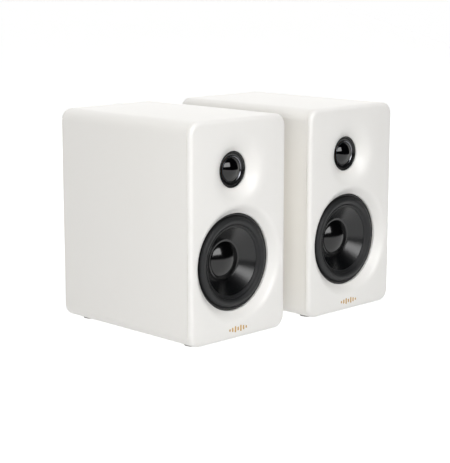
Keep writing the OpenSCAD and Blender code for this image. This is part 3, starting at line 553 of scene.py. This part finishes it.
def pull(name, rings, height, sides=128, across=0):
    """Extrudes a circle through (radius, depth) rings about an axis at that height and place across."""
    starts_at_pole = rings[0][0] == 0
    first, *rest = rings[1:] if starts_at_pole else rings
    radius, depth = first
    piece = circle(name, sides, radius, across, depth, height)
    for next_radius, next_depth in rest:
        if next_radius == 0:
            step_back(next_depth - depth)
            bpy.ops.mesh.merge(type="CENTER")
            break
        step_back(next_depth - depth, next_radius / radius, at(across, next_depth, height))
        radius, depth = next_radius, next_depth
    if starts_at_pole:
        bpy.ops.mesh.select_all(action="DESELECT")
        bpy.ops.mesh.select_mode(type="VERT")
        bpy.ops.mesh.select_non_manifold(
            extend=False, use_wire=False, use_multi_face=False, use_non_contiguous=False, use_verts=False)
        step_back(rings[0][1] - first[1])
        bpy.ops.mesh.merge(type="CENTER")
    bpy.ops.mesh.select_all(action="SELECT")
    bpy.ops.mesh.remove_doubles(threshold=1e-6)
    bpy.ops.mesh.normals_make_consistent(inside=False)
    return done(piece)


def bow(middle_r, middle_y, size, start, end, steps):
    """Rings along an arc. The angle is 0 outwards from the axis and 90 towards the front."""
    angles = [math.radians(start + (end - start) * i / steps) for i in range(steps + 1)]
    return [(middle_r + size * math.cos(a), middle_y - size * math.sin(a)) for a in angles]


def cap(rim_r, rim_y, rise, steps):
    """Rings of a spherical cap, from its pole to its rim."""
    ball = (rim_r ** 2 + rise ** 2) / (2 * rise)
    edge = math.asin(rim_r / ball)
    angles = [edge * i / steps for i in range(steps + 1)]
    return [(ball * math.sin(a), rim_y - rise + ball * (1 - math.cos(a))) for a in angles]


print("a quarter turn in 3 steps:", [(round(r, 2), round(y, 2)) for r, y in bow(0, 0, 1, 0, 90, 3)])

# %% [markdown]
# ## Shell
# The shell is a box of board with broad round edges, open at the front for the baffle and at the
# back for the sunk panel. It could be drawn as an outline and extruded, but a bevelled cube is
# quicker to read: the four long edges are rounded first, then the rim at the back, and then the
# back is inset and pushed in to make the rebate, the ledge and the hollow.

# %% The shell from outside
shell_lo, shell_hi = place_of("left_cabinet")
panel_lo, panel_hi = place_of("left_back_panel")
CORNER, BACK_ROUND, WALL = 9.5, 2.0, 6.0
FLAT, NEAR = 0.99, 0.1  # how square a face must be, and how close to a level
bpy.ops.object.select_all(action="DESELECT")
bpy.ops.mesh.primitive_cube_add(
    size=1, location=at(*(shell_lo + shell_hi) / 2), scale=(shell_hi - shell_lo) * MM)
shell = settle(bpy.context.object, "left_shell")
pick_edges(shell, lambda a, b: abs(a.y - b.y) > WALL)
bpy.ops.mesh.bevel(offset=CORNER * MM, segments=12, profile=0.5, affect="EDGES")
pick_edges(shell, lambda a, b: min(a.y, b.y) > shell_hi.y - NEAR)
bpy.ops.mesh.bevel(offset=BACK_ROUND * MM, segments=5, profile=0.5, affect="EDGES")
print("shell:", [round(side, 1) for side in shell_hi - shell_lo], "mm")

# %% Its rebate, ledge and hollow
panel_play, ledge_depth = 0.15, 8.0
rebate = (shell_hi.x - shell_lo.x - panel_hi.x + panel_lo.x) / 2 - panel_play
pick_faces(shell, lambda middle, normal: normal.y > FLAT and middle.y > shell_hi.y - NEAR)
bpy.ops.mesh.inset(thickness=(rebate - BACK_ROUND) * MM)
bpy.ops.mesh.extrude_region_move(TRANSFORM_OT_translate={"value": (0, -ledge_depth * MM, 0)})
bpy.ops.mesh.inset(thickness=(WALL - rebate) * MM)
bpy.ops.mesh.delete(type="ONLY_FACE")
pick_faces(shell, lambda middle, normal: normal.y < -FLAT and middle.y < shell_lo.y + NEAR)
bpy.ops.mesh.inset(thickness=WALL * MM)
bpy.ops.mesh.delete(type="ONLY_FACE")
pick_rims(shell)
bpy.ops.mesh.bridge_edge_loops()
bpy.ops.mesh.select_all(action="SELECT")
bpy.ops.mesh.normals_make_consistent(inside=False)
done(shell, 30)
mount(shell, shell_white, "cabinet", "cabinet")
print("shell:", len(shell.data.polygons), "faces, rebate", round(rebate, 2), "mm")

# %% [markdown]
# ## Front
# The front is one moulding: a plate with eased edges and two shallow dishes that run into each
# other between the drivers. The dishes guide the sound, so they have no hard edge anywhere. Cut
# with a boolean they would meet in a crease. Here the face is laid out flat instead, with rings
# of points round each driver, and then every point sinks to the depth of the dish under it, with
# a soft maximum where the two meet.

# %% How deep the dishes are
# Radii and depths are in millimetres. The lip is the share of the woofer's slope that eases in,
# and the power is how late the tweeter's dish turns steep.
WOOFER_MOUTH, WOOFER_THROAT, WOOFER_DEPTH, WOOFER_LIP = 46.0, 37.3, 6.3, 0.6
TWEETER_MOUTH, TWEETER_THROAT, TWEETER_DEPTH, TWEETER_POWER = 29.6, 14.0, 7.2, 2.3
BLEND_DEPTH = 0.8


def way_in(radius, mouth, throat):
    """How far in a radius is: 0 at the mouth of a dish and 1 at its throat."""
    return max(0.0, min(1.0, (mouth - radius) / (mouth - throat)))


def sink(x, z):
    """Depth of the face at a point, in the speaker's millimetres."""
    inward = way_in(math.hypot(x, z - woofer_z), WOOFER_MOUTH, WOOFER_THROAT)
    slope = inward ** 2 / (2 * WOOFER_LIP) if inward < WOOFER_LIP else inward - WOOFER_LIP / 2
    woofer = WOOFER_DEPTH * slope / (1 - WOOFER_LIP / 2)
    inward = way_in(math.hypot(x, z - tweeter_z), TWEETER_MOUTH, TWEETER_THROAT)
    tweeter = TWEETER_DEPTH * inward ** TWEETER_POWER
    meet = max(0.0, 1 - abs(woofer - tweeter) / BLEND_DEPTH)
    return max(woofer, tweeter) + BLEND_DEPTH / 4 * meet ** 2 * min(1.0, (woofer + tweeter) / BLEND_DEPTH)


midway = (woofer_z + WOOFER_MOUTH + tweeter_z - TWEETER_MOUTH) / 2
print("depth between the drivers:", round(sink(0, midway), 2), "mm")

# %% The plate and its eased edge
front_lo, front_hi = place_of("left_front_baffle")
PLATE, EASED, TOUCH = 3.5, 3.2, 0.01
bpy.ops.object.select_all(action="DESELECT")
bpy.ops.mesh.primitive_cube_add(
    size=1, location=at(0, PLATE / 2, (front_lo.z + front_hi.z) / 2),
    scale=Vector((front_hi.x - front_lo.x, PLATE, front_hi.z - front_lo.z)) * MM)
front = settle(bpy.context.object, "left_front")
pick_edges(front, lambda a, b: abs(a.y - b.y) > PLATE / 2)
bpy.ops.mesh.bevel(offset=CORNER * MM, segments=12, profile=0.5, affect="EDGES")
pick_edges(front, lambda a, b: max(a.y, b.y) < TOUCH)
bpy.ops.mesh.bevel(offset=EASED * MM, segments=8, profile=0.5, affect="EDGES")
print("front plate:", round(front_hi.x - front_lo.x, 1), "by", round(front_hi.z - front_lo.z, 1), "mm")

# %% The seam behind it, and the rim that goes into the shell
SEAM_GAP, SEAM_IN, RIM_IN, RIM_LONG = 0.5, 0.8, 5.35, 8.0
pick_faces(front, lambda middle, normal: normal.y > FLAT)
for inset, deep in ((SEAM_IN, SEAM_GAP), (RIM_IN, RIM_LONG)):
    bpy.ops.mesh.inset(thickness=inset * MM)
    bpy.ops.mesh.extrude_region_move(TRANSFORM_OT_translate={"value": (0, deep * MM, 0)})
bpy.ops.mesh.delete(type="ONLY_FACE")
pick_faces(front, lambda middle, normal: normal.y < -FLAT and middle.y < TOUCH)
bpy.ops.mesh.delete(type="ONLY_FACE")
print("rim: ends", PLATE + SEAM_GAP + RIM_LONG, "mm behind the face")

# %% The rings round the drivers
ridge_z, ridge_half = woofer_z + 42.7, 0.4
dishes = []
for name, height, throat, step, count, side in (
        ("woofer", woofer_z, WOOFER_THROAT, 0.6, 16, 1),
        ("tweeter", tweeter_z, TWEETER_THROAT, 0.75, 23, -1)):
    radii = [throat + step * i for i in range(count)]
    only(front)
    dishes.append(circle(name + "_dish", 144, throat, 0, 0, height))
    for small, large in zip(radii, radii[1:]):
        step_back(0, large / small, at(0, 0, height))
    bpy.ops.mesh.select_all(action="SELECT")
    bpy.ops.mesh.bisect(
        plane_co=at(0, 0, ridge_z - ridge_half * side), plane_no=(0, 0, side),
        clear_outer=True, use_fill=False)
    print(name, "dish:", count, "rings")

# %% Join, fill and sink the face
only(front, *dishes)
bpy.ops.object.join()


def from_throats(point):
    """Distance from a point to the nearer throat, in millimetres."""
    return min(math.hypot(point.x, point.z - woofer_z) - WOOFER_THROAT,
               math.hypot(point.x, point.z - tweeter_z) - TWEETER_THROAT)


pick_rims(front, lambda a, b: max(a.y, b.y) < TOUCH and from_throats(a) > NEAR)
bpy.ops.mesh.fill(use_beauty=True)
for vert in bmesh.from_edit_mesh(front.data).verts:
    point = (vert.co - at(0, 0, 0)) / MM
    if point.y < TOUCH:
        vert.co.y += sink(point.x, point.z) * MM
bmesh.update_edit_mesh(front.data)
print("face: sunk by up to", round(max(sink(0, woofer_z), sink(0, tweeter_z)), 2), "mm")

# %% The throats, the seats and the back
SEAT_LEVEL, BACK_LEVEL = 9.2, 12.0
for height, throat, level, seat_r in (
        (woofer_z, WOOFER_THROAT, WOOFER_DEPTH, 42.0), (tweeter_z, TWEETER_THROAT, TWEETER_DEPTH, 24.3)):
    centre = at(0, 0, height)
    pick_rims(front, lambda a, b: all(
        abs(math.hypot(end.x, end.z - height) - throat) < TOUCH for end in (a, b)))
    step_back(SEAT_LEVEL - level)
    step_back(0, seat_r / throat, centre)
    step_back(BACK_LEVEL - SEAT_LEVEL)
pick_rims(front)
bpy.ops.mesh.fill(use_beauty=True)
bpy.ops.mesh.select_all(action="SELECT")
bpy.ops.mesh.normals_make_consistent(inside=False)
done(front, 30)
mount(front, front_white, "cabinet", "front_baffle")
print("front:", len(front.data.polygons), "faces")

# %% [markdown]
# ## Woofer
# A pressed gasket ring trims the opening. Inside it the half roll of rubber joins the still
# basket to the moving cone, so it is one soft piece that follows both. The cone is a thin
# moulding with straight walls, and the polished cap covers the coil with a small glued skirt.
# One outline could hold them all, but they are different stuffs that move apart, so each is
# pulled on its own, and what is glued to the cone is placed by the cone's slope.

# %% The cone's slope
CONE_RIM, CONE_RIM_Y, CONE_RAKE = 27.5, 7.0, 0.81


def cone_y(radius):
    """Depth of the cone's front at a radius."""
    return CONE_RIM_Y + (CONE_RIM - radius) * CONE_RAKE


def on_cone(radius, proud=0.0):
    """A ring on the cone's front, or standing proud of it."""
    return radius, cone_y(radius) - proud


print("cone: rakes at", round(math.degrees(math.atan(CONE_RAKE))), "degrees")

# %% Gasket ring and surround
FLANGE_LEVEL = 8.8
gasket = pull("left_gasket", [
    (35.4, FLANGE_LEVEL), (35.4, 8.05), *bow(35.65, 8.05, 0.25, 180, 90, 4),
    *bow(36.95, 8.05, 0.25, 90, 0, 4), (37.2, FLANGE_LEVEL), (35.4, FLANGE_LEVEL)], woofer_z)
mount(gasket, gasket_black, "cabinet", "woofer_gasket_ring")

roll_middle = (31.45, FLANGE_LEVEL)
roll_top = bow(*roll_middle, 3.65, 2, 150, 22)
roll_under = bow(*roll_middle, 2.95, 150, 2, 22)
glued_lip = [on_cone(radius, proud) for radius, proud in (
    (27.9, 0.28), (27.5, 0.40), (27.0, 0.42), (26.3, 0.42), (26.05, 0.30), (26.0, 0.02), (27.4, 0.02))]
surround = pull("left_surround", [
    (36.7, SEAT_LEVEL), (36.7, FLANGE_LEVEL), (35.4, 8.78), *roll_top, *glued_lip, *roll_under,
    (34.4, SEAT_LEVEL), (36.7, SEAT_LEVEL)], woofer_z)
print("surround:", len(surround.data.polygons), "faces")

# %% Cone
neck_r, neck_long, cone_t = 10.1, 2.0, 0.9
cone = pull("left_cone", [
    *(on_cone(radius) for radius in (neck_r, 12, 15, 18, 21, 24, 26, 27.3)),
    (CONE_RIM, 7.15), (CONE_RIM, 7.75), on_cone(27.3, -cone_t), on_cone(11, -cone_t),
    (11, cone_y(neck_r) + neck_long), on_cone(neck_r, -neck_long), on_cone(neck_r)], woofer_z)
mount(cone, cone_poly, "woofer_moving", "woofer_cone")
print("cone:", len(cone.data.polygons), "faces")

# %% Dust cap
cap_rim = 14.0
cap_y = cone_y(15.2) - 0.8
front_cap = cap(cap_rim, cap_y, 4.5, 20)
shoulder = bow(cap_rim - 0.62, cap_y + 0.8, 1.0, 50, -20, 6)
skirt = [on_cone(radius, proud) for radius, proud in (
    (14.7, 0.34), (15.3, 0.40), (15.7, 0.38), (15.95, 0.2), (16.0, 0.02))]
back_cap = cap(cap_rim - 0.3, cap_y + 0.5, 4.4, 12)
dust_cap = pull("left_dust_cap", [*front_cap, *shoulder, *skirt, *reversed(back_cap)], woofer_z)
mount(dust_cap, cap_gloss, "woofer_moving", "woofer_dust_cap")
print("cap: rises", round(cap_y - front_cap[0][1], 2), "mm")

# %% [markdown]
# ## The soft pieces between basket and cone
# The surround and the spider stretch when the cone moves. Their shape follows a plain rule: all
# the way out a point stays with the basket, all the way in it moves with the cone, and the roll
# between shares the stroke out evenly. Here each piece is only paired and stands for its node. It
# rides on no body, so it doesn't follow the cone.

# %% Surround and spider
def flex(obj):
    """Moves a piece's place, turn and scale into its mesh. It blends nothing between cabinet and cone."""
    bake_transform(obj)


def mount_soft(obj, material, node):
    """Pairs a soft left piece, moves each one's place into its mesh, and hides the node it stands for."""
    for side, piece in pair(obj, material).items():
        flex(piece)
        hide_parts(f"{side}_{node}")


mount_soft(surround, surround_rubber, "woofer_surround")
spider_lo, spider_hi = place_of("left_woofer_spider")
shelf, outer = spider_hi.y, (spider_hi.x - spider_lo.x) / 2
inner, glued, steps, steps_a_wave, wave_high, spider_t = 12.0, 2.0, 48, 16, 0.7, 0.45
waves = [(outer - glued - (outer - glued - inner) * i / steps,
          shelf - 0.8 - wave_high * math.cos(2 * math.pi * i / steps_a_wave)) for i in range(steps + 1)]
spider = pull("left_spider", [
    (outer, shelf - 0.5), *waves, (10.25, shelf - 0.8), (10.25, shelf - 0.35),
    *((radius, y + spider_t) for radius, y in reversed(waves)),
    (outer, shelf), (outer, shelf - 0.5)], woofer_z)
mount_soft(spider, spider_cotton, "woofer_spider")
print("spider:", steps // steps_a_wave, "waves,", round(2 * outer, 1), "mm across")

# %% [markdown]
# ## Tweeter
# The tweeter's flange shows as a satin black stepped ring in the throat of its dish. Its dome is
# pressed from one film, and a thin ring of smoked chrome is glued over the film's edge. A sphere
# cut in half would be too deep for the dome, so it is pulled like the other rings, as a shallow
# cap with a wall.

# %% Stepped ring, dome and trim
plate = pull("left_tweeter_ring", [
    (9.75, 11.2), (9.75, 9.6), (10.3, 9.45), (10.3, 9.1), (10.9, 8.75),
    *bow(12.3, 8.9, 0.2, 90, 60, 2), (12.55, 8.5), (12.75, 8.15),
    *bow(13.1, 8.3, 0.3, 130, 90, 3), *bow(13.6, 8.3, 0.3, 90, 0, 5), (13.9, SEAT_LEVEL),
    (24.0, SEAT_LEVEL), (24.0, 11.2), (9.75, 11.2)], tweeter_z)
mount(plate, ring_gloss, "cabinet", "tweeter_faceplate")

dome_front = cap(9.25, 8.55, 3.2, 22)
dome_back = cap(8.95, 8.75, 2.95, 14)
dome = pull("left_dome", [
    *dome_front, (9.32, 8.72), (10.0, 8.75), (10.0, 9.0), (9.0, 9.0), *reversed(dome_back)], tweeter_z)
mount(dome, dome_gloss, "tweeter_moving", "tweeter_dome")

trim = pull("left_dome_trim", [
    (9.4, 8.75), (9.4, 8.66), (9.85, 8.3), *bow(9.93, 8.36, 0.09, 110, 0, 3),
    (10.02, 8.75), (9.4, 8.75)], tweeter_z)
mount(trim, trim_metal, "tweeter_moving")
print("tweeter: ring, trim and dome,", len(dome.data.polygons), "faces in the dome")

# %% [markdown]
# ## Maker's mark
# A small mark in warm gold foil is stamped under the woofer. It is a row of rounded bars like a
# level meter, and stands for no maker. It could be painted in the face's material, but a film of
# its own, a tenth of a millimetre thick, catches the light at its edges as foil does.

# %% The gold bars
FILM, PROUD = 0.1, 0.03


def bar(x, y, z, wide, tall, turn=0.0, tilt=0.0):
    """A flat bar with round ends, in millimetres, turned about the depth axis and tilted back, in degrees."""
    bpy.ops.object.select_all(action="DESELECT")
    bpy.ops.mesh.primitive_cube_add(size=1, location=(0, 0, 0), scale=(wide * MM, FILM * MM, tall * MM))
    piece = settle(bpy.context.object, "bar")
    pick_edges(piece, lambda a, b: abs(a.y - b.y) > FILM / 2)
    bpy.ops.mesh.bevel(offset=0.45 * min(wide, tall) * MM, segments=4, profile=0.5, affect="EDGES")
    bpy.ops.object.mode_set(mode="OBJECT")
    piece.rotation_euler = (math.radians(tilt), math.radians(turn), 0)
    piece.location = at(x, y, z)
    return settle(piece, "bar")


def stamp(name, pieces):
    """Joins the parts of one print."""
    only(*pieces)
    if len(pieces) > 1:
        bpy.ops.object.join()
    return settle(pieces[0], name)


heights = [2.0, 3.4, 4.8, 3.0, 4.8, 3.4, 2.0]
mark_x, mark_z, pitch, bar_wide = -1.4, 9.0, 2.9, 1.6
mark = stamp("left_mark", [
    bar(mark_x + (i - len(heights) // 2) * pitch, -PROUD, mark_z, bar_wide, tall)
    for i, tall in enumerate(heights)])
mount(mark, gold_foil, "cabinet")
print("mark:", len(heights), "bars")

# %% [markdown]
# ## The back
# The back panels keep their meshes from the frame. What they lack is what a screen printer and a
# plating shop add: a ring of ticks and a white pointer for the volume, a plus and a minus at the
# clips, the on and off marks of the rocker, and bright metal where a plug goes in. The prints
# could be drawn by the panel's material, but as films they export as they are, and a print on a
# moving piece can ride with it.

# %% Prints on the panels
def to_the_right(obj, material, body):
    """Moves a piece modelled on the left to the right speaker, where it rides on a body."""
    only(obj)
    bpy.ops.transform.translate(value=to_right)
    settle(obj, obj.name)
    paint(obj, material)
    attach(obj, body)


panel_y = place_of("right_back_panel")[1].y
knob_lo, knob_hi = place_of("volume_knob")
knob_x, knob_z = (knob_lo.x + knob_hi.x) / 2, (knob_lo.z + knob_hi.z) / 2
knob_r = (knob_hi.x - knob_lo.x) / 2
tick_r, half_sweep = knob_r + 2.4, 150
ticks = []
for degrees in range(-half_sweep, half_sweep + 1, 30):
    long = 2.4 if degrees in (-half_sweep, 0, half_sweep) else 1.5
    turn = math.radians(degrees)
    x, z = knob_x + tick_r * math.sin(turn), knob_z + tick_r * math.cos(turn)
    ticks.append(bar(x, panel_y + PROUD, z, 0.6, long, degrees))
to_the_right(stamp("right_volume_ticks", ticks), white_ink, "active_speaker")
pointer = bar(knob_x, knob_hi.y - 0.55, knob_z + 6.0, 0.9, 4.6)
to_the_right(stamp("right_volume_pointer", [pointer]), white_ink, "volume_knob")
print("volume:", len(ticks), "ticks and a pointer, on a panel at", round(panel_y, 1), "mm")

# %% Plus and minus signs
stroke_long, stroke_wide = 2.2, 0.6
for side in ("left", "right"):
    block_lo, block_hi = place_of(side + "_terminal_block")
    plus_x, minus_x = (
        sum(corner.x for corner in place_of(f"{side}_clip_lever_{colour}")) / 2
        for colour in ("red", "black"))
    y, z = block_hi.y + PROUD, block_hi.z - 2.0
    signs = stamp(side + "_polarity_signs", [
        bar(plus_x, y, z, stroke_long, stroke_wide), bar(plus_x, y + 0.01, z, stroke_wide, stroke_long),
        bar(minus_x, y, z, stroke_long, stroke_wide)])
    if side == "right":
        to_the_right(signs, white_ink, "active_speaker")
    else:
        paint(signs, white_ink)
        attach(signs, "passive_speaker")
    print(side, "signs at", round(plus_x, 1), "and", round(minus_x, 1), "mm across")

# %% Marks on the rocker
# The rocker's top is a shallow valley about its pivot, and at rest it leans by half its travel.
rocker_lo, rocker_hi = place_of("power_rocker")
rocker_x = (rocker_lo.x + rocker_hi.x) / 2
inlet_lo, inlet_hi = place_of("power_inlet")
middle_z, pivot_y = (inlet_lo.z + inlet_hi.z) / 2, inlet_hi.y - 3
lean, valley_y, valley = math.radians(10), 1.6, math.atan2(1.8, 7.9)


def on_rocker(z, sign):
    """Where a mark sits on the upper or lower face of the leaning rocker, and its tilt in degrees."""
    y = valley_y + abs(z) * math.tan(valley) + PROUD + 0.01
    turned_y = y * math.cos(lean) + z * math.sin(lean)
    turned_z = z * math.cos(lean) - y * math.sin(lean)
    return pivot_y + turned_y, middle_z + turned_z, math.degrees(-lean - sign * valley)


mark_up = 4.6
y, z, tilt = on_rocker(mark_up, 1)
line_mark = bar(rocker_x, y, z, 0.7, 3.0, tilt=tilt)
y, z, tilt = on_rocker(-mark_up, -1)
inside_r, outside_r, half_film = 1.05, 1.6, FILM / 2
round_mark = pull("round_mark", [
    (inside_r, half_film), (inside_r, -half_film), (outside_r, -half_film), (outside_r, half_film),
    (inside_r, half_film)], 0, sides=32)
only(round_mark)
bpy.ops.transform.translate(value=-at(0, 0, 0))
settle(round_mark, "round_mark")
round_mark.rotation_euler = (math.radians(tilt), 0, 0)
round_mark.location = at(rocker_x, y, z)
settle(round_mark, "round_mark")
to_the_right(stamp("right_rocker_marks", [line_mark, round_mark]), white_ink, "power_rocker")
print("rocker marks at", round(z, 1), "mm, tilted", round(tilt, 1), "degrees")

# %% Bright metal where plugs go in
jack_hole = next(hole for hole in frame["record"]["mounts"] if hole["name"] == "audio_jack")
jack_x = (jack_hole["pos_m"][0] - to_right.x - axis_x) / MM
socket_lo, socket_hi = place_of("input_sockets")
mouth_y, jack_z = socket_hi.y, (socket_lo.z + socket_hi.z) / 2
jack = pull("right_jack_ring", [
    (1.6, mouth_y - 6), (1.6, mouth_y + 0.1), (1.8, mouth_y + 0.3), (2.5, mouth_y + 0.3),
    (2.75, mouth_y + 0.05), (2.75, mouth_y - 0.2), (1.78, mouth_y - 0.2), (1.78, mouth_y - 6),
    (1.6, mouth_y - 6)], jack_z, sides=48, across=jack_x)
to_the_right(jack, nickel, "active_speaker")

inlet_x, half_pitch, pin_r, pin_long = 11.0, 4.3, 1.27, 7.5
tip = inlet_hi.y - 4.6
for index, x in enumerate((inlet_x - half_pitch, inlet_x + half_pitch)):
    pin = pull(f"right_inlet_pin_{index}", [
        (0, tip + 0.45), (0.6, tip + 0.4), (1.05, tip + 0.1), (pin_r, tip - 0.4), (pin_r, tip - pin_long),
        (0, tip - pin_long)], middle_z, sides=32, across=x)
    to_the_right(pin, nickel, "active_speaker")
print("metal: jack ring", round(jack_x, 2), "mm across, and", index + 1, "inlet pins")
